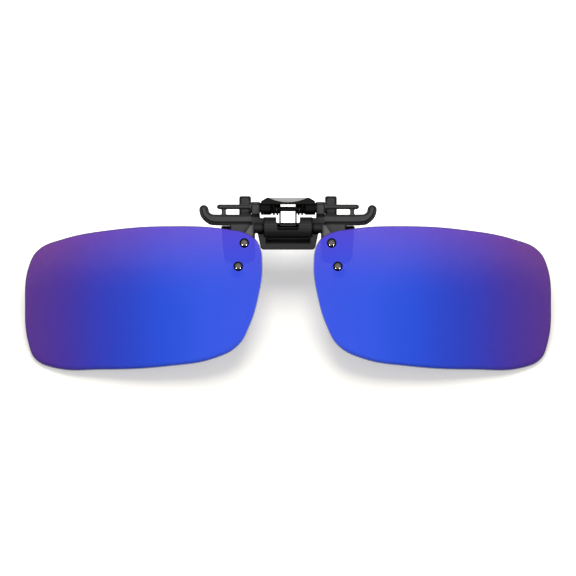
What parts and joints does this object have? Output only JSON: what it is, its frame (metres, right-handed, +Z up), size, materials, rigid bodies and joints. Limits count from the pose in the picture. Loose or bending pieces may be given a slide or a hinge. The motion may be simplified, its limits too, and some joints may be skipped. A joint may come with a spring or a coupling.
{
  "type": "clip on flip lenses",
  "caption": "Pair of blue mirrored lenses that flip up on a sprung clip, gripping the bridge area of spectacles between soft pads.",
  "frame": {"origin": "middle of the grip, between the left and right pads, on the plane of the front pads' backs", "axes": "+X across the lenses, +Y back towards the wearer, +Z up as worn"},
  "size_m": [0.1324, 0.0102, 0.044],
  "materials": {
    "black_moulding": "satin black injection moulding",
    "arm_moulding": "dark grey moulding with a soft sheen",
    "soft_pad": "matt soft grip",
    "pin_steel": "drawn steel pin",
    "spring_wire": "drawn spring wire",
    "screw_gunmetal": "polished gunmetal plating",
    "mirror_lens": "blue to violet mirror coating"
  },
  "bodies": {
    "clip_body": {"front_body": "black_moulding", "pivot_pin": "pin_steel", "clamp_spring": "spring_wire", "left_front_pad": "soft_pad", "right_front_pad": "soft_pad"},
    "rear_jaw": {"rear_jaw": "black_moulding", "left_rear_pad": "soft_pad", "right_rear_pad": "soft_pad"},
    "lens_flip": {"flip_axle": "pin_steel", "left_lens_arm": "arm_moulding", "right_lens_arm": "arm_moulding", "left_lens": "mirror_lens", "right_lens": "mirror_lens", "left_upper_screw": "screw_gunmetal", "left_lower_screw": "screw_gunmetal", "right_upper_screw": "screw_gunmetal", "right_lower_screw": "screw_gunmetal", "left_upper_nut": "screw_gunmetal", "left_lower_nut": "screw_gunmetal", "right_upper_nut": "screw_gunmetal", "right_lower_nut": "screw_gunmetal"}
  },
  "joints": [
    {"name": "clamp", "type": "hinge", "parent": "clip_body", "child": "rear_jaw", "pos_m": [0, -0.0015, 0.00781], "axis": [1, 0, 0], "range_deg": [0, 20], "stiffness_Nm_per_rad": 0.012, "springref_deg": -40.11, "deforming": ["clamp_spring"]},
    {"name": "lens_flip", "type": "hinge", "parent": "clip_body", "child": "lens_flip", "pos_m": [0, -0.00422, 0.003], "axis": [-1, 0, 0], "range_deg": [0, 90]}
  ]
}
